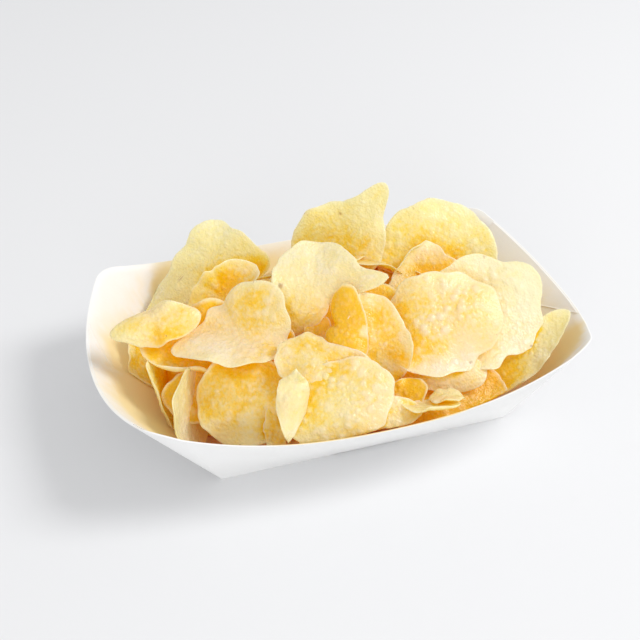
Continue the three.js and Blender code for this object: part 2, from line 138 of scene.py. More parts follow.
# One mesh from points in millimetres, groups of faces and a value for each point in each field
def makePiece(name, points, faces, material, fields=None):
    mesh = bpy.data.meshes.new(name)
    mesh.vertices.add(len(points))
    mesh.vertices.foreach_set("co", (np.asarray(points) * mm).astype(np.float32).ravel())
    corners = np.concatenate([part.ravel() for part in faces])
    counts = np.concatenate([np.full(len(part), part.shape[1]) for part in faces])
    mesh.loops.add(len(corners))
    mesh.loops.foreach_set("vertex_index", corners.astype(np.int32))
    mesh.polygons.add(len(counts))
    starts = np.concatenate([[0], np.cumsum(counts)[:-1]])
    mesh.polygons.foreach_set("loop_start", starts.astype(np.int32))
    mesh.polygons.foreach_set("use_smooth", np.ones(len(counts), bool))
    mesh.update(calc_edges=True)
    mesh.validate()
    mesh.set_sharp_from_angle(angle=math.radians(sharpFrom))
    for field, values in (fields or {}).items():
        made = mesh.attributes.new(field, "FLOAT", "POINT")
        made.data.foreach_set("value", values.astype(np.float32))
    mesh.materials.append(material)
    piece = bpy.data.objects.new(name, mesh)
    bpy.context.scene.collection.objects.link(piece)
    return piece


def standIn(piece, node):
    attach(piece, "root")
    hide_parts(node)


def newMaterial(name):
    material = bpy.data.materials.new(name)
    material.use_nodes = True
    tree = material.node_tree
    return material, tree, tree.nodes["Principled BSDF"]


def addNode(tree, kind, inputs=None, **settings):
    made = tree.nodes.new(kind)
    for setting, value in settings.items():
        setattr(made, setting, value)
    for socket, value in (inputs or {}).items():
        if isinstance(value, bpy.types.NodeSocket):
            tree.links.new(value, made.inputs[socket])
        else:
            made.inputs[socket].default_value = value
    return made


def addMath(tree, operation, first, second, clamp=False):
    made = addNode(tree, "ShaderNodeMath", {0: first, 1: second}, operation=operation, use_clamp=clamp)
    return made.outputs[0]


# The first value plus a share of the second
def addShare(tree, first, second, share):
    return addMath(tree, "ADD", first, addMath(tree, "MULTIPLY", second, share))


# Maps a value from one range onto 0 to 1 with soft ends
def addStep(tree, value, low, high):
    made = addNode(tree, "ShaderNodeMapRange", {"Value": value, "From Min": low, "From Max": high},
                   interpolation_type="SMOOTHSTEP")
    return made.outputs["Result"]


def addNoise(tree, place, sizeMm, detail=3.0, roughness=0.55):
    made = addNode(tree, "ShaderNodeTexNoise", {
        "Vector": place, "Scale": 1 / (sizeMm * mm), "Detail": detail, "Roughness": roughness,
    })
    return made.outputs["Fac"]


def addCells(tree, place, sizeMm, smooth=0.4):
    made = addNode(tree, "ShaderNodeTexVoronoi", {
        "Vector": place, "Scale": 1 / (sizeMm * mm), "Smoothness": smooth,
    }, feature="SMOOTH_F1")
    return made.outputs["Distance"]


def mixColours(tree, share, first, second, blend="MIX"):
    mixed = addNode(tree, "ShaderNodeMix", {"Factor": share}, data_type="RGBA", blend_type=blend)
    for socket, value in (("A", first), ("B", second)):
        target = [s for s in mixed.inputs if s.name == socket and s.type == "RGBA"][0]
        if isinstance(value, bpy.types.NodeSocket):
            tree.links.new(value, target)
        else:
            target.default_value = (*value, 1)
    return [s for s in mixed.outputs if s.type == "RGBA"][0]


crispFinish = {
    "palest": (0.998, 0.98, 0.86),
    "cream": (0.998, 0.94, 0.57),
    "gold": (0.998, 0.84, 0.07),
    "openGold": (0.998, 0.82, 0.12),    # gold where a slice lies free, with no second bounce to warm it
    # deep: painted shade, the orange gold that paleness reaches mostly where other slices lie close
    "deep": (0.998, 0.70, 0.005),
    "blisterTop": (0.998, 0.965, 0.78),
    "singed": (0.42, 0.20, 0.04),
    "base": -0.08,                      # paleness of every slice before what follows is added
    "patchMm": 12,
    "patchPale": 1.3,
    "fineMm": 2.2,
    "finePale": 0.8,
    # painted highlight: paler towards the rim, and a thin pale line along the cut edge
    "rimHighlight": 0.35,
    # blisters paler: their own paler colour and a painted highlight
    "blisterPaleAndHighlight": 0.45,
    "shelterShade": 0.95,                # painted shade: how much other slices close by take off its paleness
    "openSpan": (0.0, 0.4),
    "creamSpan": (0.10, 0.86),          # paleness over which one tone gives way to the next
    "deepSpan": (0.48, 0.0),
    "palestSpan": (0.8, 1.5),
    "blisterShare": 0.5,
    "edgeHighlightSpan": (0.62, 1.0),
    "edgeHighlightShare": 0.75,
    "speckMm": 3.2,
    "speckSpan": (0.78, 0.82),
    "edgeSpeckMm": 4.5,
    "edgeSpeckSpan": (0.68, 0.76),
    "singedShare": 0.6,
    "throughTint": (1.0, 0.98, 0.36),   # what the slice takes out of light that shines through it
    "through": 0.42,                    # share of the light that each face lets through
    "roughness": (0.25, 0.3),           # at its smoothest, and what the fine noise adds
    "refraction": 1.5,
    "coat": 0.8,                        # thin film of oil, thinned where slices lie close as painted shade that dims its reflection
    "coatShadeSpan": (0.5, 0.05),
    "coatRoughness": 0.16,
    "poreMm": 1.15,
    "poreDepth": 0.55,
    "grainMm": 0.7,
    "grainDepth": 0.35,
    "relief": 0.7,
    "reliefMm": 0.5,
}


# Paler towards the rim as a painted highlight, paler on the blisters as their own colour and a painted
# highlight, and more golden where other slices lie close as painted shade
def crispPaleness(tree, place, fine, fields):
    patches = addNoise(tree, place, crispFinish["patchMm"], 4.5, 0.6)
    paleness = addShare(tree, crispFinish["base"], patches, crispFinish["patchPale"])
    paleness = addMath(tree, "ADD", paleness, fields["tone"])
    unevenness = addMath(tree, "SUBTRACT", fine, 0.5)
    paleness = addShare(tree, paleness, unevenness, crispFinish["finePale"])
    # painted highlight: paler towards the rim
    paleness = addShare(tree, paleness, fields["rim"], crispFinish["rimHighlight"])
    paleness = addShare(tree, paleness, fields["blister"], crispFinish["blisterPaleAndHighlight"])
    # painted shade: more golden where other slices crowd the face
    return addShare(tree, paleness, fields["shelter"], -crispFinish["shelterShade"])


def crispColour(tree, place, paleness, fields):
    finish = crispFinish
    gold = mixColours(tree, addStep(tree, fields["shelter"], *finish["openSpan"]), finish["openGold"],
                      finish["gold"])
    colour = mixColours(tree, addStep(tree, paleness, *finish["creamSpan"]), gold, finish["cream"])
    for span, tone in (("deepSpan", "deep"), ("palestSpan", "palest")):
        colour = mixColours(tree, addStep(tree, paleness, *finish[span]), colour, finish[tone])
    # blister tops: their own paler colour and a painted highlight
    raised = addMath(tree, "MULTIPLY", fields["blister"], finish["blisterShare"], True)
    colour = mixColours(tree, raised, colour, finish["blisterTop"])
    # painted highlight: a thin pale line along the cut edge
    edgeHighlight = addStep(tree, fields["rim"], *finish["edgeHighlightSpan"])
    edgeHighlight = addMath(tree, "MULTIPLY", edgeHighlight, finish["edgeHighlightShare"])
    colour = mixColours(tree, edgeHighlight, colour, finish["blisterTop"])
    specks = addStep(tree, addNoise(tree, place, finish["speckMm"], 2), *finish["speckSpan"])
    edgeNoise = addNoise(tree, place, finish["edgeSpeckMm"], 3)
    edgeSpecks = addMath(tree, "MULTIPLY", fields["rim"], addStep(tree, edgeNoise, *finish["edgeSpeckSpan"]))
    burnt = addMath(tree, "MAXIMUM", addMath(tree, "MAXIMUM", specks, edgeSpecks), fields["singed"])
    browned = addMath(tree, "MULTIPLY", burnt, finish["singedShare"], True)
    return mixColours(tree, browned, colour, finish["singed"])


def crispRelief(tree, place, fine):
    height = addShare(tree, fine, addCells(tree, place, crispFinish["poreMm"]), crispFinish["poreDepth"])
    grain = addNoise(tree, place, crispFinish["grainMm"], 3)
    height = addShare(tree, height, grain, crispFinish["grainDepth"])
    bump = addNode(tree, "ShaderNodeBump", {
        "Height": height, "Strength": crispFinish["relief"], "Distance": crispFinish["reliefMm"] * mm,
    })
    return bump.outputs["Normal"]


# Part of the light goes through each face, tinted once more
def makeCrispFinish():
    material, tree, shader = newMaterial("friedPotato")
    place = addNode(tree, "ShaderNodeTexCoord").outputs["Object"]
    fields = {
        field: addNode(tree, "ShaderNodeAttribute", attribute_name=field).outputs["Fac"]
        for field in ("tone", "blister", "rim", "singed", "shelter")
    }
    fine = addNoise(tree, place, crispFinish["fineMm"], 4, 0.6)
    paleness = crispPaleness(tree, place, fine, fields)
    colour = crispColour(tree, place, paleness, fields)
    # painted shade on the reflection: less oil coat where other slices lie close
    coat = addMath(tree, "MULTIPLY", addStep(tree, fields["shelter"], *crispFinish["coatShadeSpan"]),
                   crispFinish["coat"])
    smoothest, rougher = crispFinish["roughness"]
    relief = crispRelief(tree, place, fine)
    tree.links.new(colour, shader.inputs["Base Color"])
    tree.links.new(coat, shader.inputs["Coat Weight"])
    tree.links.new(addShare(tree, smoothest, fine, rougher), shader.inputs["Roughness"])
    tree.links.new(relief, shader.inputs["Normal"])
    tree.links.new(relief, shader.inputs["Coat Normal"])
    shader.inputs["IOR"].default_value = crispFinish["refraction"]
    shader.inputs["Coat Roughness"].default_value = crispFinish["coatRoughness"]
    tinted = mixColours(tree, 1.0, colour, crispFinish["throughTint"], "MULTIPLY")
    through = addNode(tree, "ShaderNodeBsdfTranslucent", {"Color": tinted, "Normal": relief})
    both = addNode(tree, "ShaderNodeMixShader", {
        0: crispFinish["through"], 1: shader.outputs["BSDF"], 2: through.outputs["BSDF"],
    })
    tree.links.new(both.outputs["Shader"], tree.nodes["Material Output"].inputs["Surface"])
    return material


paperFinish = {
    "white": (0.86, 0.86, 0.853),
    "shade": (0.835, 0.833, 0.823),
    "mottleSpan": (0.28, 0.6),
    "fibreMm": 0.8,
    "fibreShare": 0.4,
    "cloudMm": 24,
    "cloudShare": 0.6,
    "roughness": (0.5, 0.2),        # at its smoothest, and what the fibres add
    "relief": 0.3,
    "reliefMm": 0.15,
    "glow": (0.84, 0.69, 0.38),     # painted bounce light and shade: golden colour on the paper where slices lie close
    "glowSpan": (0.0, 0.14),
    "glowFade": 14,                 # mm over which that wears off
    "glowReach": 56,
}


def makePaperFinish():
    finish = paperFinish
    material, tree, shader = newMaterial("paperboard")
    place = addNode(tree, "ShaderNodeTexCoord").outputs["Object"]
    fibres = addNoise(tree, place, finish["fibreMm"], 6, 0.65)
    clouds = addNoise(tree, place, finish["cloudMm"], 3)
    mottle = addMath(tree, "MULTIPLY", clouds, finish["cloudShare"])
    mottle = addShare(tree, mottle, fibres, finish["fibreShare"])
    colour = mixColours(tree, addStep(tree, mottle, *finish["mottleSpan"]), finish["shade"], finish["white"])
    near = addNode(tree, "ShaderNodeAttribute", attribute_name="nearCrisps").outputs["Fac"]
    # painted bounce light and shade: the paper turns golden where slices lie close
    colour = mixColours(tree, addStep(tree, near, *finish["glowSpan"]), colour, finish["glow"])
    tree.links.new(colour, shader.inputs["Base Color"])
    smoothest, rougher = finish["roughness"]
    tree.links.new(addShare(tree, smoothest, fibres, rougher), shader.inputs["Roughness"])
    bump = addNode(tree, "ShaderNodeBump", {
        "Height": fibres, "Strength": finish["relief"], "Distance": finish["reliefMm"] * mm,
    })
    tree.links.new(bump.outputs["Normal"], shader.inputs["Normal"])
    return material


stage = {"halfSide": 4000, "tone": (0.765, 0.766, 0.773), "roughness": 0.8, "shine": 0.1}


def layFloor():
    material, tree, shader = newMaterial("paleFloor")
    shader.inputs["Base Color"].default_value = (*stage["tone"], 1)
    shader.inputs["Roughness"].default_value = stage["roughness"]
    shader.inputs["Specular IOR Level"].default_value = stage["shine"]
    corners = np.array([[-1, -1, 0], [1, -1, 0], [1, 1, 0], [-1, 1, 0]], float) * stage["halfSide"]
    floor = makePiece("paleFloor", corners, [np.array([[0, 1, 2, 3]])], material)
    floor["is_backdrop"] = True
    print("floor laid")


# The folded paper tray: flat base, ruled walls that lean out, a rim that dips in the middle of each
# wall, and a glued ear inside each end
tray = {
    "board": 0.6,
    "baseHalfLength": 66,
    "baseHalfWidth": 46,
    "corner": (96, 62, 46.5),   # where the rim's peaks would meet unrounded
    "endX": 111,
    "endZ": 36,
    "sideY": 76,
    "sideZ": 35,
    "bow": 2.1,                 # power by which the rim draws in towards its corners
    "sag": 2.8,                 # power by which a side's rim rises towards them
    "roundFrom": 0.88,          # share of the way to the corner where its round starts
    "cornerLift": 1,
    "footStep": 0.45,           # how far the inner face steps in, in board thicknesses
    "rimStep": 1.3,
    "edgeRound": 0.1,
    "middleRim": 40,            # a height between the rim's lowest and highest
    "cornerFrom": 1.5,          # where food keeps further off the folded corners, and how fast
    "cornerSlope": 8,
    "steps": (26, 12, 18),      # along half a side, round a corner, along half an end
    "levels": 14,
}

ear = {
    "sunk": 0.3,                # how far its back lies in the end wall
    "raised": 0.65,
    "start": 0.8,               # share of the way to the corner where it starts
    "reach": 8,                 # how far past the middle its cut edge runs
    "lowest": 0.4,              # shares of the wall's height
    "highest": 0.998,
    "flareFrom": 0.8,
    "flare": 112,
    "across": 40,
    "up": 24,
}


def sideRim(u):
    cornerX, cornerY, cornerZ = tray["corner"]
    y = tray["sideY"] - (tray["sideY"] - cornerY) * abs(u) ** tray["bow"]
    z = tray["sideZ"] + (cornerZ - tray["sideZ"]) * abs(u) ** tray["sag"]
    return np.array([cornerX * u, y, z])


def endRim(v):
    cornerX, cornerY, cornerZ = tray["corner"]
    x = tray["endX"] - (tray["endX"] - cornerX) * abs(v) ** tray["bow"]
    z = tray["endZ"] + (cornerZ - tray["endZ"]) * v * v
    return np.array([x, cornerY * v, z])


def cornerRim(t):
    start, finish = sideRim(tray["roundFrom"]), endRim(tray["roundFrom"])
    peak = np.array(tray["corner"]) + np.array([0, 0, tray["cornerLift"]])
    return start * (1 - t) ** 2 + peak * 2 * t * (1 - t) + finish * t * t


def quarterWall():
    sideSteps, cornerSteps, endSteps = tray["steps"]
    length, width, turn = tray["baseHalfLength"], tray["baseHalfWidth"], tray["roundFrom"]
    walls = []
    for i in range(sideSteps):
        share = i / sideSteps
        walls.append((np.array([length * share, width, 0]), sideRim(turn * share)))
    for i in range(cornerSteps + 1):
        walls.append((np.array([length, width, 0]), cornerRim(i / cornerSteps)))
    for i in range(endSteps - 1, -1, -1):
        share = i / endSteps
        walls.append((np.array([length, width * share, 0]), endRim(turn * share)))
    return walls


# Feet and rim points of the whole wall, anticlockwise seen from above
def trayColumns():
    quarter = quarterWall()
    columns = []
    for sx, sy in ((1, 1), (-1, 1), (-1, -1), (1, -1)):
        flip = np.array([sx, sy, 1])
        walls = [(foot * flip, top * flip) for foot, top in quarter]
        if sx * sy > 0:
            walls.reverse()
        columns += walls[:-1]
    feet = np.array([foot for foot, top in columns], float)
    tops = np.array([top for foot, top in columns], float)
    return feet, tops


def innerFace(feet, tops):
    board = tray["board"]
    step = tray["footStep"] * board
    innerFeet = feet * np.array([1 - step / tray["baseHalfLength"], 1 - step / tray["baseHalfWidth"], 0])
    innerFeet[:, 2] = board
    outward = tops / np.array([tray["endX"] ** 2, tray["sideY"] ** 2, 1])
    outward[:, 2] = 0
    outward /= np.linalg.norm(outward, axis=1, keepdims=True)
    return innerFeet, tops - outward * tray["rimStep"] * board


def ringStrip(low, high, count):
    ring = np.arange(count)
    following = (ring + 1) % count
    return np.stack([low + ring, low + following, high + following, high + ring], 1)


def trayShell():
    feet, tops = trayColumns()
    innerFeet, innerTops = innerFace(feet, tops)
    count, levels = len(feet), tray["levels"]
    shares = (np.arange(levels + 1) / levels)[:, None, None]
    outer = (feet * (1 - shares) + tops * shares).reshape(-1, 3)
    inner = (innerFeet * (1 - shares) + innerTops * shares).reshape(-1, 3)
    cutEdge = (tops + innerTops) / 2 + np.array([0, 0, tray["edgeRound"]])
    middles = np.array([[0, 0, 0], [0, 0, tray["board"]]], float)
    innerStart = len(outer)
    edgeStart = innerStart + len(inner)
    under = edgeStart + count
    rimRow = levels * count
    quads = []
    for level in range(levels):
        low, high = level * count, (level + 1) * count
        quads.append(ringStrip(low, high, count))
        quads.append(ringStrip(innerStart + low, innerStart + high, count)[:, ::-1])
    quads.append(ringStrip(rimRow, edgeStart, count))
    quads.append(ringStrip(edgeStart, innerStart + rimRow, count))
    ring = np.arange(count)
    following = (ring + 1) % count
    below = np.stack([np.full(count, under), following, ring], 1)
    above = np.stack([np.full(count, under + 1), innerStart + ring, innerStart + following], 1)
    return np.vstack([outer, inner, cutEdge, middles]), np.vstack(quads), np.vstack([below, above])


def glueEar(mirrorX, mirrorY):
    across, up = ear["across"], ear["up"]
    columns = np.arange(across + 1) / across
    layers = []
    for depth in (-ear["sunk"], ear["raised"]):
        rows = []
        for j in range(up + 1):
            height = ear["lowest"] + (ear["highest"] - ear["lowest"]) * j / up
            start = -tray["corner"][1] * ear["start"]
            finish = ear["reach"] + ear["flare"] * max(0, height - ear["flareFrom"])
            shares = (start + (finish - start) * columns) / tray["corner"][1]
            tops = np.array([endRim(v) for v in shares])
            feet = np.zeros((len(shares), 3))
            feet[:, 0] = tray["baseHalfLength"]
            feet[:, 1] = tray["baseHalfWidth"] * shares / tray["roundFrom"]
            innerFeet, innerTops = innerFace(feet, tops)
            row = innerFeet + (innerTops - innerFeet) * height
            row[:, 0] -= depth
            rows.append(row)
        layers.append(np.vstack(rows) * np.array([mirrorX, mirrorY, 1]))
    count = len(layers[0])
    index = np.arange(count).reshape(up + 1, across + 1)
    cells = np.stack([index[:-1, :-1], index[1:, :-1], index[1:, 1:], index[:-1, 1:]], -1).reshape(-1, 4)
    outline = np.concatenate([index[0, :-1], index[:-1, -1], index[-1, :0:-1], index[:0:-1, 0]])
    edge = np.stack([outline, np.roll(outline, -1)], 1)
    sides = np.column_stack([edge[:, 0], edge[:, 1], edge[:, 1] + count, edge[:, 0] + count])
    quads = np.vstack([cells[:, ::-1], cells + count, sides])
    if mirrorX * mirrorY < 0:
        quads = quads[:, ::-1]
    return np.vstack(layers), quads


# Share of the view from each inner point of the wall, towards the middle, that slices take up; it sets the
# painted bounce light and shade on the paper
def nearCrisps(points, tree):
    middle = np.array([0, 0, tray["endZ"]])
    sideways = np.array([0.4, 0.4, 0.6])
    nears = np.zeros(len(points))
    outer = (tray["levels"] + 1) * len(trayColumns()[0])
    for k in range(outer, len(points)):
        toward = middle - points[k] * sideways
        hits = hitDistances(points[k], toward / np.linalg.norm(toward), tree, paperFinish["glowReach"])
        nears[k] = sum(math.exp(-hit / paperFinish["glowFade"]) for hit in hits) / shelter["rays"]
    return nears


def foldTray(material, tree):
    points, quads, triangles = trayShell()
    points, quads = [points], [quads]
    for mirrorX, mirrorY in ((-1, 1), (1, -1)):
        earPoints, earQuads = glueEar(mirrorX, mirrorY)
        quads.append(earQuads + sum(len(part) for part in points))
        points.append(earPoints)
    points = np.vstack(points)
    fields = {"nearCrisps": nearCrisps(points, tree)}
    piece = makePiece("paperTray", points, [np.vstack(quads), triangles], material, fields)
    standIn(piece, "tray")
    print("tray folded:", len(piece.data.polygons), "faces")


# How far the walls' inner faces stand from the middle, at each point's own height
def wallReach(points):
    x, y = points[:, 0], points[:, 1]
    z = np.maximum(points[:, 2], 0)
    cornerX, cornerY, cornerZ = tray["corner"]
    share = z / tray["middleRim"]
    for _ in range(3):
        u = np.clip(x / (tray["baseHalfLength"] + (cornerX - tray["baseHalfLength"]) * share), -1, 1)
        share = z / (tray["sideZ"] + (cornerZ - tray["sideZ"]) * abs(u) ** tray["sag"])
    rimY = tray["sideY"] - (tray["sideY"] - cornerY) * abs(u) ** tray["bow"]
    width = tray["baseHalfWidth"] + share * (rimY - tray["baseHalfWidth"])
    share = z / tray["middleRim"]
    for _ in range(3):
        v = np.clip(y / (tray["baseHalfWidth"] + (cornerY - tray["baseHalfWidth"]) * share), -1, 1)
        share = z / (tray["endZ"] + (cornerZ - tray["endZ"]) * v * v)
    rimX = tray["endX"] - (tray["endX"] - cornerX) * abs(v) ** tray["bow"]
    length = tray["baseHalfLength"] + share * (rimX - tray["baseHalfLength"])
    corner = np.maximum(0, abs(u) + abs(v) - tray["cornerFrom"]) * tray["cornerSlope"]
    return length - corner, width - corner


def keepInside(points, gap):
    points = points.copy()
    points[:, 2] = np.maximum(points[:, 2], tray["board"] + gap * sliceForm["floorShare"])
    width = wallReach(points)[1]
    points[:, 1] = np.clip(points[:, 1], gap - width, width - gap)
    length = wallReach(points)[0]
    points[:, 0] = np.clip(points[:, 0], gap - length, length - gap)
    return points


# Every crisp is one thin slice. In the lists below, in millimetres and degrees:
#   at      middle of the slice        face    compass angle and rise of its upper side
#   spin    turn about its face        size    length and width
#   square  how boxy the outline is    egg     how much one end is fuller
#   bulges  (direction, height, spread) of the outline
#   cup     lift of its ends and of its sides
#   curls   (direction, distance where it starts, radius, most degrees it turns through)
#   lips    (direction, spread, height) of its turned-up rim
#   ragged  how uneven its outline is, 1 by default
#   bubbly  how blistered it is        tone    paler above 0, more golden below
#   patches (direction, share of the way out, size, paler above 0) of its pale and golden parts;
#   some tones and patches are painted highlights on lit edges and painted shade in folds and deep gaps
#   marks   (direction, share of the way out, size) of its brown spots
sliceForm = {
    "thickness": 0.95,
    "edgeThin": 0.5,            # how much of that is gone at the very edge
    "edgeReach": 0.2,
    # powers by which each of these grows from the middle towards the rim
    "grow": {"lobes": 2.2, "rimColour": 5, "lips": 6, "thinning": 6, "rimRoll": 12, "calm": 16},
    "wallGap": 2.99,            # level gap between a slice's middle layer and the board
    "floorShare": 0.6,          # share of that gap kept over the base
    "step": (0.62, 1.0),        # spacing of the mesh from the middle out, and round the rim
    "fewest": (12, 48),         # rings and points round the rim of the smallest slice
    "ragged": 0.013,            # unevenness of the outline, as a share of its radius
    "raggedWaves": range(3, 14),
    "nibble": (2.4, 0.3),       # width and depth of the finest unevenness of the edge
    "lobes": ((2, 1.2), (3, 1.0), (5, 0.75), (8, 0.4)),    # waves round the rim and their height
    "swells": ((14, 1.19), (7, 0.28)),                     # width and height of soft dents
    "fullSize": 32,             # a slice shorter than this is less wavy
    "rimRoll": (8, 0.8),        # width and height of the turns of its very edge
    "rollUp": 0.2,
    "blisterCell": 3.8,
    "blisterHeight": 0.75,
    "blisterWidths": (0.22, 0.43),   # the narrowest, and what the widest adds, as shares of a cell
    "blisterDome": 0.85,
    "blisterCrowd": (0.30, 0.25),    # how full the cells are, and what a bubbly slice adds
    "mostBubbly": 1.6,
    "pimpleCell": 1.9,
    "pimpleHeight": 0.24,
    "pimpleCrowd": 0.75,
    "pimpleExtra": 0.35,        # share of the pimples that shows on top of the blisters
    "blisterPaleAndHighlight": (0.75, 0.35),     # how pale the tops of blisters and of pimples are: their own paler colour and a painted highlight
    "clusterCell": 11,
    "cluster": (0.55, 0.9),     # how blistered a slice is on average, and how much that varies over it
    "singedReach": (1.6, 1.2),  # a brown spot's strength at its middle, and its loss over its size
    "toneVariety": 0.04,
    "seed": 100,
    "backCoarser": 1.6,         # spacing of the mesh at the back, against the other slices
}


# A repeatable share from 0 to 1 for each cell of a square lattice
def cellShare(column, row, seed):
    mixed = (column * 374761393 + row * 668265263 + seed * 1274126177) & 0xffffffff
    mixed = ((mixed ^ (mixed >> 13)) * 1274126177) & 0xffffffff
    return ((mixed ^ (mixed >> 16)) & 0xffffffff) / 4294967296


# Soft hills and dips from -1 to 1
def softNoise(a, b, cell, seed):
    column, row = np.floor(a / cell).astype(np.int64), np.floor(b / cell).astype(np.int64)
    along, across = a / cell - column, b / cell - row
    along, across = along * along * (3 - 2 * along), across * across * (3 - 2 * across)
    near = cellShare(column, row, seed) * (1 - along) + cellShare(column + 1, row, seed) * along
    far = cellShare(column, row + 1, seed) * (1 - along) + cellShare(column + 1, row + 1, seed) * along
    return (near * (1 - across) + far * across) * 2 - 1


# Round-topped blisters from 0 to 1, at most one to a cell
def blisterField(a, b, cell, crowding, seed):
    a, b = a / cell, b / cell
    column, row = np.floor(a).astype(np.int64), np.floor(b).astype(np.int64)
    narrowest, wider = sliceForm["blisterWidths"]
    height = np.zeros(len(a))
    for stepA in (-1, 0, 1):
        for stepB in (-1, 0, 1):
            c, r = column + stepA, row + stepB
            wide = narrowest + wider * cellShare(c, r, seed)
            offA = a - c - cellShare(c, r, seed + 1)
            offB = b - r - cellShare(c, r, seed + 2)
            dome = np.clip(1 - (offA ** 2 + offB ** 2) / wide ** 2, 0, 1) ** sliceForm["blisterDome"]
            present = cellShare(c, r, seed + 3) < crowding
            height = np.maximum(height, present * dome * wide / (narrowest + wider))
    return height


def crispAxes(face, spin):
    compass, rise = np.radians(face)
    flat = math.cos(rise)
    normal = np.array([math.cos(compass) * flat, math.sin(compass) * flat, math.sin(rise)])
    level = np.cross([0, 0, 1], normal)
    level /= np.linalg.norm(level)
    up = np.cross(normal, level)
    turn = math.radians(spin)
    along = math.cos(turn) * level + math.sin(turn) * up
    return along, np.cross(normal, along), normal


def outlineRadius(crisp, angle):
    a, b = crisp["size"][0] / 2, crisp["size"][1] / 2
    square = crisp.get("square", 2)
    radius = (abs(np.cos(angle) / a) ** square + abs(np.sin(angle) / b) ** square) ** (-1 / square)
    radius = radius * (1 + crisp.get("egg", 0) * np.cos(angle))
    for direction, height, spread in crisp.get("bulges", []):
        away = (angle - math.radians(direction) + math.pi) % (2 * math.pi) - math.pi
        radius = radius + height * np.exp(-(away / math.radians(spread)) ** 2)
    return radius


def curlOver(points, direction, start, radius, most=360):
    heading = math.radians(direction)
    toward = np.array([math.cos(heading), math.sin(heading)])
    beyond = np.maximum(points[:, :2] @ toward - start, 0)
    side, radius = math.copysign(1, radius), abs(radius)
    bend = np.minimum(beyond / radius, math.radians(most))
    straight = beyond - bend * radius
    lift = points[:, 2]
    reach = radius * np.sin(bend) + straight * np.cos(bend) - lift * np.sin(bend) * side
    height = side * (radius * (1 - np.cos(bend)) + straight * np.sin(bend)) + lift * np.cos(bend)
    curled = beyond > 0
    moved = points.copy()
    moved[curled, :2] += ((reach - beyond)[:, None] * toward)[curled]
    moved[curled, 2] = height[curled]
    return moved


# Outline and lift of the slice's middle layer in its own axes, then bent and set in place
def middleLayer(crisp, seed, share, angle):
    draws = np.random.default_rng(seed)
    grow = sliceForm["grow"]
    outline = outlineRadius(crisp, angle)
    ragged = sliceForm["ragged"] * crisp.get("ragged", 1)
    for waves in sliceForm["raggedWaves"]:
        size = ragged * draws.normal() * (sliceForm["raggedWaves"][0] / waves) ** 0.5
        outline = outline * (1 + size * np.cos(waves * angle + draws.uniform(0, 2 * math.pi)))
    width, depth = sliceForm["nibble"]
    outline = outline + depth * softNoise(outline * np.cos(angle), outline * np.sin(angle), width, seed + 7)
    a, b = outline * share * np.cos(angle), outline * share * np.sin(angle)
    cupEnds, cupSides = crisp.get("cup", (0, 0))
    lift = cupEnds * (2 * a / crisp["size"][0]) ** 2 + cupSides * (2 * b / crisp["size"][1]) ** 2
    for direction, spread, height in crisp.get("lips", []):
        away = (angle - math.radians(direction) + math.pi) % (2 * math.pi) - math.pi
        lift = lift + height * np.exp(-(away / math.radians(spread)) ** 2) * share ** grow["lips"]
    slack = min(1, max(crisp["size"]) / sliceForm["fullSize"])
    for waves, height in sliceForm["lobes"]:
        size = slack * height * draws.normal() * share ** grow["lobes"]
        lift = lift + size * np.cos(waves * angle + draws.uniform(0, 2 * math.pi))
    for cell, height in sliceForm["swells"]:
        lift = lift + slack * height * softNoise(a, b, cell, seed + 11)
    width, height = sliceForm["rimRoll"]
    roll = softNoise(a, b, width, seed + 13) + sliceForm["rollUp"]
    lift = lift + height * roll * share ** grow["rimRoll"]
    points = np.stack([a, b, lift], 1)
    for curl in crisp.get("curls", []):
        points = curlOver(points, *curl)
    along, across, normal = crispAxes(crisp["face"], crisp.get("spin", 0))
    placed = np.array(crisp["at"], float) + points @ np.array([along, across, normal])
    return keepInside(placed, sliceForm["wallGap"]), a, b


def vertexNormals(points, faces):
    normals = np.zeros_like(points)
    for corners in faces:
        edgeA = points[corners[:, 1]] - points[corners[:, 0]]
        edgeB = points[corners[:, -1]] - points[corners[:, 0]]
        faceNormal = np.cross(edgeA, edgeB)
        for k in range(corners.shape[1]):
            np.add.at(normals, corners[:, k], faceNormal)
    return normals / (np.linalg.norm(normals, axis=1, keepdims=True) + 1e-9)


# Distance over the slice from a spot given by its direction and its share of the way out
def farFrom(crisp, direction, out, a, b):
    heading = math.radians(direction)
    reach = outlineRadius(crisp, np.array([heading]))[0] * out
    return np.hypot(a - reach * math.cos(heading), b - reach * math.sin(heading))


# Height of the blisters and pimples on one face, and how pale their tops are, their own paler colour and a
# painted highlight
def blisters(crisp, a, b, share, seed):
    bubbly = crisp.get("bubbly", 1)
    calm = 1 - share ** sliceForm["grow"]["calm"]       # blisters fade out at the very edge
    average, varying = sliceForm["cluster"]
    cluster = np.clip(softNoise(a, b, sliceForm["clusterCell"], seed) * varying + average, 0, 1)
    crowd, extraCrowd = sliceForm["blisterCrowd"]
    big = blisterField(a, b, sliceForm["blisterCell"], crowd + extraCrowd * bubbly, seed + 20)
    small = blisterField(a, b, sliceForm["pimpleCell"], sliceForm["pimpleCrowd"], seed + 40)
    big, small = big * cluster * calm * min(bubbly, sliceForm["mostBubbly"]), small * calm
    pimples = sliceForm["pimpleHeight"] * small
    raised = np.maximum(sliceForm["blisterHeight"] * big, pimples) + sliceForm["pimpleExtra"] * pimples
    bigPale, smallPale = sliceForm["blisterPaleAndHighlight"]
    return raised, np.clip(bigPale * big + smallPale * small, 0, 1)


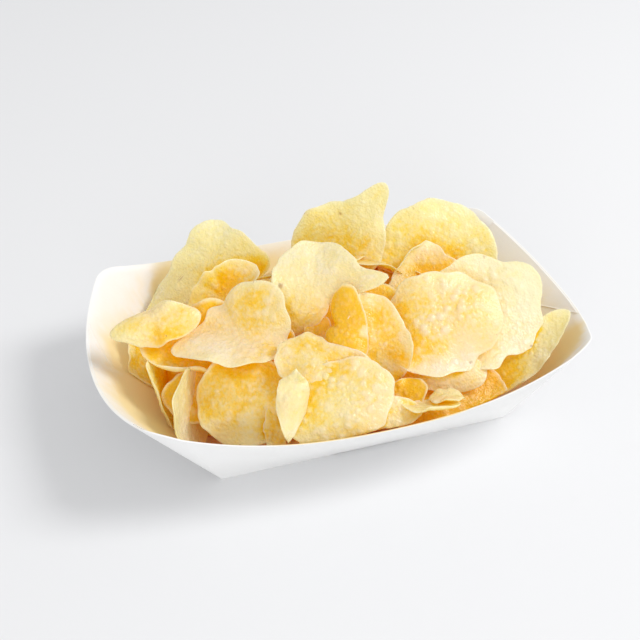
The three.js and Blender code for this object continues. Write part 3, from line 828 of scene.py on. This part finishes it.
# Brown spots, and the paler and more golden parts, some of which are painted highlights and painted shade
def spotsAndTone(crisp, a, b, seed):
    singed = np.zeros(len(a))
    strength, loss = sliceForm["singedReach"]
    for direction, out, size in crisp.get("marks", []):
        far = farFrom(crisp, direction, out, a, b)
        singed = np.maximum(singed, np.clip(strength - far / size * loss, 0, 1))
    variety = sliceForm["toneVariety"] * (cellShare(seed, 3, 5) * 2 - 1)
    tone = np.full(len(a), crisp.get("tone", 0) + variety)
    for direction, out, size, paler in crisp.get("patches", []):
        tone = tone + paler * np.exp(-(farFrom(crisp, direction, out, a, b) / size) ** 2)
    return singed, tone


def fryCrisp(crisp, seed, coarser=1):
    outStep, roundStep = sliceForm["step"]
    fewestRings, fewestAround = sliceForm["fewest"]
    rings = max(fewestRings, round(max(crisp["size"]) / 2 / outStep / coarser))
    around = max(fewestAround, round(sum(crisp["size"]) / 2 * math.pi / roundStep / coarser))
    angle = np.concatenate([[0], np.tile(np.arange(around) * 2 * math.pi / around, rings)])
    share = np.concatenate([[0], np.repeat((np.arange(rings) + 1) / rings, around)])
    middle, a, b = middleLayer(crisp, seed, share, angle)
    ring = np.arange(around)
    following = (ring + 1) % around
    fan = np.stack([np.zeros(around, int), 1 + ring, 1 + following], 1)
    strips = []
    for r in range(rings - 1):
        low, high = 1 + r * around, 1 + (r + 1) * around
        strips.append(np.stack([low + ring, high + ring, high + following, low + following], 1))
    strips = np.vstack(strips)
    normals = vertexNormals(middle, (fan, strips))
    grow = sliceForm["grow"]
    half = sliceForm["thickness"] / 2 * (1 - sliceForm["edgeThin"] * share ** grow["thinning"])
    faces, tops = [], []
    for side in (1, -1):
        raised, top = blisters(crisp, a, b, share, seed + 100 * (side + 2))
        faces.append(middle + normals * ((half + raised) * side)[:, None])
        tops.append(top)
    upperEdge = 1 + (rings - 1) * around
    outwards = middle[upperEdge:] - middle[upperEdge - around:upperEdge]
    outwards /= np.linalg.norm(outwards, axis=1, keepdims=True) + 1e-9
    edge = middle[upperEdge:] + outwards * sliceForm["edgeReach"]
    lowerEdge, cutEdge = upperEdge + len(middle), 2 * len(middle)
    quads = [strips, strips[:, ::-1] + len(middle)]
    for first, second in ((upperEdge, cutEdge), (cutEdge, lowerEdge)):
        quads.append(np.stack([first + ring, second + ring, second + following, first + following], 1))
    triangles = np.vstack([fan, fan[:, ::-1] + len(middle)])
    singed, tone = spotsAndTone(crisp, a, b, seed)
    rim = share ** grow["rimColour"]
    return {
        "points": np.vstack([*faces, edge]), "quads": np.vstack(quads), "triangles": triangles,
        "middle": middle, "normals": normals, "rings": rings, "around": around,
        "fields": {
            "tone": np.concatenate([tone, tone, tone[upperEdge:]]),
            "blister": np.concatenate([*tops, np.zeros(around)]),
            "rim": np.concatenate([rim, rim, rim[upperEdge:]]),
            "singed": np.concatenate([singed, singed, singed[upperEdge:]]),
        },
    }


# How closely other slices crowd each face, painted onto the slices as golden shade
shelter = {
    "rings": 5,                 # each slice is looked at from a few points on both faces
    "around": 16,
    "rays": 24,
    "reach": 34,
    "step": 1.6,                # mm off the face, to clear the slice itself
    "fade": 0.5,                # how much less a slice at the end of the reach counts
}


def coarseRows(crisp):
    rings = np.round(np.arange(1, shelter["rings"] + 1) * crisp["rings"] / shelter["rings"]).astype(int)
    columns = np.arange(shelter["around"]) * crisp["around"] // shelter["around"]
    return np.concatenate([[0], (1 + (rings[:, None] - 1) * crisp["around"] + columns).ravel()])


def shelterTree(crisps):
    points, triangles = [], []
    ring = np.arange(shelter["around"])
    following = (ring + 1) % shelter["around"]
    for crisp in crisps:
        start = sum(len(part) for part in points)
        points.append(crisp["middle"][coarseRows(crisp)])
        triangles.append(np.stack([np.zeros_like(ring), 1 + ring, 1 + following], 1) + start)
        for r in range(shelter["rings"] - 1):
            low, high = start + 1 + r * len(ring), start + 1 + (r + 1) * len(ring)
            triangles.append(np.stack([low + ring, high + ring, high + following], 1))
            triangles.append(np.stack([low + ring, high + following, low + following], 1))
    return BVHTree.FromPolygons(np.vstack(points).tolist(), np.vstack(triangles).tolist())


# How far the slices lie that rays spread over the half space along a normal hit
def hitDistances(point, normal, tree, reach):
    count = shelter["rays"]
    turn = np.arange(count) * math.pi * (3 - math.sqrt(5))
    out = np.sqrt((np.arange(count) + 0.5) / count)
    spread = np.stack([out * np.cos(turn), out * np.sin(turn), np.sqrt(1 - out ** 2)], 1)
    level = np.cross([0.36, 0.48, 0.8], normal)
    level /= np.linalg.norm(level)
    rays = spread @ np.array([level, np.cross(normal, level), normal])
    start = (point + normal * shelter["step"]).tolist()
    hits = [tree.ray_cast(start, ray, reach)[3] for ray in rays.tolist()]
    return [hit for hit in hits if hit is not None]


# How much of that half space other slices take up, from 0 to 1
def blockedShare(point, normal, tree):
    hits = hitDistances(point, normal, tree, shelter["reach"])
    return sum(1 - shelter["fade"] * hit / shelter["reach"] for hit in hits) / shelter["rays"]


def findShelter(crisp, tree):
    rows = coarseRows(crisp)
    grids = []
    for side in (1, -1):
        blocked = [blockedShare(point, normal, tree)
                   for point, normal in zip(crisp["middle"][rows], crisp["normals"][rows] * side)]
        grids.append(np.vstack([np.full(shelter["around"], blocked[0]),
                                np.array(blocked[1:]).reshape(shelter["rings"], -1)]))
    return [spreadOut(grid, crisp) for grid in grids]


def spreadOut(grid, crisp):
    rings, around = crisp["rings"], crisp["around"]
    row = np.arange(rings + 1) / rings * shelter["rings"]
    low = np.minimum(row.astype(int), shelter["rings"] - 1)
    rowShare = (row - low)[:, None]
    column = np.arange(around) / around * shelter["around"]
    left = column.astype(int)
    columnShare = column - left
    right = (left + 1) % shelter["around"]
    near = grid[:, left] * (1 - columnShare) + grid[:, right] * columnShare
    fine = near[low] * (1 - rowShare) + near[low + 1] * rowShare
    return np.concatenate([[fine[0].mean()], fine[1:].ravel()])


def joinCrisps(name, crisps, tree, material):
    points, quads, triangles, fields, start = [], [], [], [], 0
    for crisp in crisps:
        upper, lower = findShelter(crisp, tree)
        crisp["fields"]["shelter"] = np.concatenate([upper, lower, upper[-crisp["around"]:]])
        points.append(crisp["points"])
        quads.append(crisp["quads"] + start)
        triangles.append(crisp["triangles"] + start)
        fields.append(crisp["fields"])
        start += len(crisp["points"])
    merged = {field: np.concatenate([part[field] for part in fields]) for field in fields[0]}
    piece = makePiece(name, np.vstack(points), [np.vstack(quads), np.vstack(triangles)], material, merged)
    standIn(piece, "crisps")
    count = 2 * sum(map(len, quads)) + sum(map(len, triangles))
    print(name, "laid:", len(points), "crisps,", count, "triangles")


leftCrisps = {
    # peakLeft: the golden patch past its fold is painted shade
    "peakLeft": {"at": (-44, 50, 48), "face": (238, 42), "spin": 12, "size": (42, 34),
                 "bulges": [(212, 19, 15), (150, -4, 25), (90, 2, 22), (-20, 6, 26), (-120, 5, 25)],
                 "cup": (-2, 2), "curls": [(-66, 3, -12, 35)], "bubbly": 0.6, "tone": 0.3,
                 "patches": [(-66, 0.6, 10, -0.6), (-20, 0.7, 9, -0.5), (207, 0.4, 8, -0.2)],
                 "marks": [(-30, 0.4, 0.8), (-90, 0.3, 0.7), (205, 0.5, 0.8)]},
    "troughLeft": {"at": (-46, 22, 47), "face": (246, 50), "spin": 46, "size": (40, 20),
                   "cup": (2, 8), "bubbly": 0.5,
                   "patches": [(0, 0.2, 8, -0.35), (120, 0.8, 6, 0.3)]},
    "tongueLeft": {"at": (-81, -3, 57), "face": (236, 56), "spin": 27, "size": (37, 19), "square": 1.6,
                   "bulges": [(182, 3, 14)], "cup": (-2, -6), "bubbly": 0.5, "tone": -0.1,
                   "patches": [(-70, 0.9, 8, -0.4), (90, 0.8, 6, 0.4)]},
    "cradle": {"at": (-60, -12, 42), "face": (246, 66), "spin": -3, "size": (62, 34),
               "bulges": [(90, 6, 40)], "cup": (2, 2), "curls": [(-95, 10, 4, 120)],
               "bubbly": 0.5, "tone": -0.5,
               "patches": [(180, 0.5, 9, -0.35), (-90, 0.97, 9, 0.9), (-135, 1, 9, 0.9),
                           (-50, 1, 9, 0.9)]},
    # wideLeft: the pale patches on its curled lower lip are painted light
    "wideLeft": {"at": (-47, -13, 51), "face": (229, 42), "spin": 2, "size": (42, 42), "square": 2.2,
                 "bulges": [(65, 4, 20), (140, -6, 24), (175, -3, 15), (215, 7, 14), (-125, 3, 20)],
                 "curls": [(-88, 0, 4, 42)], "cup": (-1, 0), "bubbly": 0.9, "tone": -0.04,
                 "patches": [(-90, 0.7, 11, 0.7), (-150, 0.7, 8, 0.5), (10, 0.95, 5, 0.5),
                             (60, 0.5, 9, -0.15)]},
    "cornerLeft": {"at": (-84, 18, 26), "face": (290, 44), "spin": 55, "size": (36, 18), "cup": (2, 3),
                   "bubbly": 0.4},
    "stripOne": {"at": (-82, -13, 22), "face": (343, 22), "spin": 90, "size": (40, 30), "cup": (2, 3),
                 "bubbly": 0.5, "tone": 0.3, "patches": [(90, 0.95, 6, 0.4), (-60, 0.6, 8, -0.4)]},
    # stripTwo: its high tone and pale edge patch are painted light on a slice in shade
    "stripTwo": {"at": (-75, -30, 25), "face": (328, 16), "spin": 80, "size": (36, 37), "egg": 0.1,
                 "cup": (2, 4), "bubbly": 0.5, "tone": 0.85,
                 "patches": [(90, 0.9, 9, 0.9), (-60, 0.6, 8, -0.4), (-135, 0.5, 7, -0.3)]},
    "frontUnder": {"at": (-64, -24, 30), "face": (262, 50), "spin": 10, "size": (40, 26),
                   "cup": (1, 1), "tone": -0.4},
}

centreCrisps = {
    "frontOval": {"at": (-53, -39, 35), "face": (248, 46), "spin": 0, "size": (41, 40),
                  "bulges": [(-30, -2, 22)], "cup": (-2, -3), "curls": [(0, 9, 10, 25)], "bubbly": 0.4,
                  "tone": -0.1, "patches": [(90, 0.7, 10, -0.25), (0, 0.8, 8, 0.12), (-120, 0.7, 8, 0.15)],
                  "marks": [(-35, 1, 1.1), (-90, 0.95, 0.6)]},
    "frontLow": {"at": (-43, -51, 26), "face": (255, 50), "spin": 0, "size": (9, 26), "cup": (0, 2),
                 "tone": -0.1},
    "standCentre": {"at": (-33, -23, 38), "face": (215, 24), "spin": 100, "size": (32, 16), "tone": -0.3,
                    "cup": (0, -3), "bubbly": 0.4, "patches": [(-65, 0.85, 3, 0.4)]},
    "flap": {"at": (-35, -54, 51), "face": (262, 34), "spin": -102, "size": (31, 12), "square": 1.2,
             "egg": 0.6, "cup": (0, -2), "bubbly": 0.4, "tone": 0.3},
    "taco": {"at": (-23, -40, 50), "face": (264, 64), "spin": -6, "size": (32, 28), "square": 1.8,
             "bulges": [(-2, 9, 14), (50, -3, 25)], "cup": (0, -2), "lips": [(-85, 40, -3)],
             "bubbly": 1, "tone": -0.05,
             "patches": [(85, 0.5, 8, -0.2), (-60, 0.95, 6, 0.5), (0, 0.9, 5, 0.3)]},
    "topCentre": {"at": (-13, -7, 66), "face": (246, 58), "spin": 0, "size": (34, 40),
                  "bulges": [(1, 10, 9), (1, 6, 22), (-45, -6, 24), (-108, 6, 20), (35, 2, 20)],
                  "cup": (2, 0), "curls": [(-90, 0, -20, 45)], "bubbly": 1.3, "tone": 0.3,
                  "patches": [(120, 0.6, 12, 0.2), (-150, 0.6, 6, -0.3), (-80, 0.6, 8, -0.3)],
                  "marks": [(-165, 0.8, 1)]},
    "backTriangle": {"at": (13, 22, 64), "face": (236, 26), "spin": 36, "size": (47, 38), "egg": -0.15,
                     "bulges": [(27, 13, 15), (120, 2, 24), (-24, -2, 25)], "cup": (0, 3),
                     "bubbly": 0.35, "patches": [(-130, 0.5, 13, 0.2), (35, 0.8, 9, 0.12)],
                     "marks": [(75, 0.7, 0.7)]},
    "darkTip": {"at": (-15, -21, 46), "face": (235, 50), "spin": 90, "size": (20, 12), "bubbly": 0.4,
                "tone": -0.4},
    "centreOval": {"at": (7, -36, 48), "face": (262, 36), "spin": 95, "size": (44, 27),
                   "bulges": [(115, -5, 18)], "cup": (-2, 4), "bubbly": 0.4, "tone": -0.12,
                   "patches": [(35, 0.4, 9, -0.1), (180, 0.9, 8, -0.3), (-90, 0.9, 4, 0.3)]},
    # deepStand: its low tone is painted shade, the pale patch on its edge a painted highlight
    "deepStand": {"at": (-7, -33, 56), "face": (234, 44), "spin": 104, "size": (41, 19),
                  "bulges": [(50, -5, 26)], "cup": (0, -3), "bubbly": 0.4, "tone": -0.75,
                  "patches": [(-90, 0.97, 3, 1)]},
    "goldenMiddle": {"at": (6, -14, 50), "face": (250, 54), "spin": 10, "size": (44, 30), "cup": (2, 2),
                     "bubbly": 0.6, "tone": -0.3},
    "frontRound": {"at": (-15, -58, 41), "face": (255, 52), "spin": 25, "size": (48, 38), "egg": -0.12,
                   "bulges": [(90, -2, 25)], "cup": (-2, -3), "bubbly": 1.6, "tone": -0.04,
                   "patches": [(115, 0.6, 9, -0.3), (60, 0.7, 8, -0.2), (-75, 0.4, 9, 0.15)]},
}

rightCrisps = {
    "backRight": {"at": (53, 10, 54), "face": (248, 46), "spin": -30, "size": (55, 55), "cup": (2, 2),
                  "bubbly": 1, "patches": [(-145, 0.7, 11, 0.25), (115, 0.3, 5, -0.2), (110, 0.8, 10, 0.15)]},
    # curlCentre: the pale patches along its curled edge are a painted highlight
    "curlCentre": {"at": (45, -2, 52), "face": (256, 54), "spin": 45, "size": (40, 36),
                   "bulges": [(0, -6, 30)],
                   "curls": [(90, 12, 2, 100)], "bubbly": 0.6, "tone": 0.1,
                   "patches": [(90, 1, 5, 1), (60, 1, 5, 0.9), (120, 1, 5, 1), (-90, 0, 12, -0.4)]},
    "rightBack": {"at": (61, -29, 44), "face": (264, 52), "spin": -60, "size": (53, 52), "square": 2.2,
                  "egg": -0.08, "bulges": [(98, 3, 25), (-7, -6, 25)], "cup": (2, 4), "ragged": 1.6,
                  "bubbly": 1, "tone": 0.5, "patches": [(85, 0.7, 13, 0.35), (-45, 1, 7, -0.3)],
                  "marks": [(20, 1, 0.6)]},
    "bigRight": {"at": (40, -34, 52), "face": (258, 50), "spin": 15, "size": (56, 46), "egg": -0.1,
                 "bulges": [(-65, -2, 22)], "cup": (-3, -4), "lips": [(-115, 45, 3)], "bubbly": 1.7,
                 "patches": [(155, 0.6, 7, -0.3), (-145, 0.5, 8, -0.35), (75, 0.8, 9, 0.1),
                             (-115, 0.95, 8, 0.8), (-80, 0.95, 7, 0.5)],
                 "marks": [(-80, 0.95, 0.6)]},
    "lowerOne": {"at": (2, -63, 33), "face": (262, 50), "spin": 0, "size": (30, 13), "tone": 0.05},
    "lowerTwo": {"at": (12, -53, 31), "face": (240, 50), "spin": 30, "size": (24, 15), "tone": -0.6},
    "rimLower": {"at": (31, -44, 37), "face": (258, 58), "spin": -15, "size": (45, 22), "cup": (-2, -3),
                 "bubbly": 0.5, "patches": [(-90, 0.9, 8, 0.2)]},
    "smallFlat": {"at": (29, -62, 34), "face": (82, 74), "spin": 4, "size": (15, 13), "cup": (-1, 1),
                  "bubbly": 0.5, "tone": 0.2},
    "edgeHighlight": {"at": (20, -66, 33), "face": (76, 64), "spin": -5, "size": (24, 15), "cup": (2, 1),
                 "bubbly": 0.5, "tone": 0.3},
    "darkLow": {"at": (34, -51, 25), "face": (262, 60), "spin": 10, "size": (52, 36), "bubbly": 0.6,
                "tone": -0.9},
    "lowFill": {"at": (43, -53, 22), "face": (250, 62), "spin": 20, "size": (36, 36), "bubbly": 0.5,
                "tone": -0.6},
    "rightInner": {"at": (79, -40, 34), "face": (236, 54), "spin": 58, "size": (56, 20), "egg": -0.15,
                   "bulges": [(25, -4, 25)], "cup": (0, 3), "bubbly": 0.5, "tone": 0.1,
                   "patches": [(180, 0.6, 9, -0.4), (-90, 0.9, 5, 0.3)]},
}

# Rows behind the tall slices, by compass angle, that lean like the shingles of a roof
backRows = {
    "seed": 11,
    "middleX": 4,
    "size": (46, 38),
    "cup": (0, -3),
    "vary": {
        "compass": 4, "height": 3, "turn": 18, "rise": 9, "spin": 60, "size": (5, 4), "cup": (3, 2),
    },
    "rows": [
        {"count": 8, "from": 8, "to": 172, "reachX": 74, "reachY": 50, "height": 32, "rise": 52},
        {"count": 6, "from": 18, "to": 162, "reachX": 56, "reachY": 36, "height": 43, "rise": 58},
        {"count": 4, "from": 60, "to": 150, "reachX": 34, "reachY": 26, "height": 51, "rise": 54},
    ],
}


# The same small random generator as the solids use, so the back of the heap lies the same way
def seededRandom(seed):
    state = seed & 0xffffffff
    while True:
        state = (state + 0x6d2b79f5) & 0xffffffff
        t = state
        t = ((t ^ (t >> 15)) * (t | 1)) & 0xffffffff
        t ^= (t + (((t ^ (t >> 7)) * (t | 61)) & 0xffffffff)) & 0xffffffff
        yield ((t ^ (t >> 14)) & 0xffffffff) / 4294967296


def backCrisps():
    draws = seededRandom(backRows["seed"])
    amounts = backRows["vary"]

    def vary(value, amount):
        return value + (next(draws) * 2 - 1) * amount

    crisps = []
    for row in backRows["rows"]:
        spacing = (row["to"] - row["from"]) / (row["count"] - 1)
        for i in range(row["count"]):
            degrees = vary(row["from"] + spacing * i, amounts["compass"])
            compass = math.radians(degrees)
            x = backRows["middleX"] + row["reachX"] * math.cos(compass)
            y = row["reachY"] * math.sin(compass)
            crisps.append({
                "at": (x, y, vary(row["height"], amounts["height"])),
                "face": (vary(degrees, amounts["turn"]), vary(row["rise"], amounts["rise"])),
                "spin": vary(0, amounts["spin"]),
                "size": tuple(map(vary, backRows["size"], amounts["size"])),
                "cup": tuple(map(vary, backRows["cup"], amounts["cup"])),
            })
    return crisps


# What fills the tray under the slices, painted as golden slices in shade: a level of each mound is its
# height, half length and half width
heapCore = {
    "around": 64,
    "fineLevels": 22,
    "square": 2.6,
    # painted shade: the mound is coloured as if deep under other slices
    "tone": -0.12,
    "shelter": 0.9,
    "mounds": [
        {"x": 6, "y": 0, "top": 50,
         "levels": [(2.6, 54, 36), (14, 62, 44), (25, 66, 48), (34, 56, 40), (42, 40, 28), (48, 22, 14)]},
        {"x": -60, "y": 4, "top": 36, "levels": [(2.6, 17, 25), (18, 22, 28), (31, 18, 22)]},
    ],
}


def buildMounds(material):
    around = heapCore["around"]
    points, quads, triangles, start = [], [], [], 0
    ring = np.arange(around)
    following = (ring + 1) % around
    angle = ring * 2 * math.pi / around
    for mound in heapCore["mounds"]:
        heights, lengths, widths = zip(*mound["levels"])
        fine = np.linspace(heights[0], heights[-1], heapCore["fineLevels"])
        a, b = np.interp(fine, heights, lengths), np.interp(fine, heights, widths)
        for k, z in enumerate(fine):
            radius = outlineRadius({"size": (2 * a[k], 2 * b[k]), "square": heapCore["square"]}, angle)
            x, y = mound["x"] + radius * np.cos(angle), mound["y"] + radius * np.sin(angle)
            points.append(keepInside(np.stack([x, y, np.full(around, z)], 1), sliceForm["wallGap"]))
            if k:
                quads.append(ringStrip(start + (k - 1) * around, start + k * around, around))
        under = start + len(fine) * around
        last = under - around
        points.append(np.array([[mound["x"], mound["y"], z] for z in (fine[0], mound["top"])], float))
        triangles.append(np.stack([np.full(around, under), start + following, start + ring], 1))
        triangles.append(np.stack([np.full(around, under + 1), last + ring, last + following], 1))
        start = under + 2
    points = np.vstack(points)
    even = np.ones(len(points))
    fields = {"tone": heapCore["tone"] * even, "shelter": heapCore["shelter"] * even}
    for field in ("rim", "blister", "singed"):
        fields[field] = 0 * even
    piece = makePiece("heapCore", points, [np.vstack(quads), np.vstack(triangles)], material, fields)
    standIn(piece, "crisps")
    print("heapCore set under them:", len(heapCore["mounds"]), "mounds")


placeCamera()
lightTheStage()
layFloor()
paperboard = makePaperFinish()
friedPotato = makeCrispFinish()
groups = {
    "leftCrisps": leftCrisps.values(),
    "centreCrisps": centreCrisps.values(),
    "rightCrisps": rightCrisps.values(),
    "backCrisps": backCrisps(),
}
heap = {}
for number, (name, crisps) in enumerate(groups.items(), 1):
    coarser = sliceForm["backCoarser"] if name == "backCrisps" else 1
    seed = sliceForm["seed"] * number
    heap[name] = [fryCrisp(crisp, seed + k, coarser) for k, crisp in enumerate(crisps)]
print("crisps fried:", sum(map(len, heap.values())))
tree = shelterTree([crisp for crisps in heap.values() for crisp in crisps])
foldTray(paperboard, tree)
for name, crisps in heap.items():
    joinCrisps(name, crisps, tree, friedPotato)
buildMounds(friedPotato)

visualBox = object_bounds()
boxes = {"cad": cadBox, "visual": visualBox}
{name: [list(corner) for corner in box] for name, box in boxes.items()}
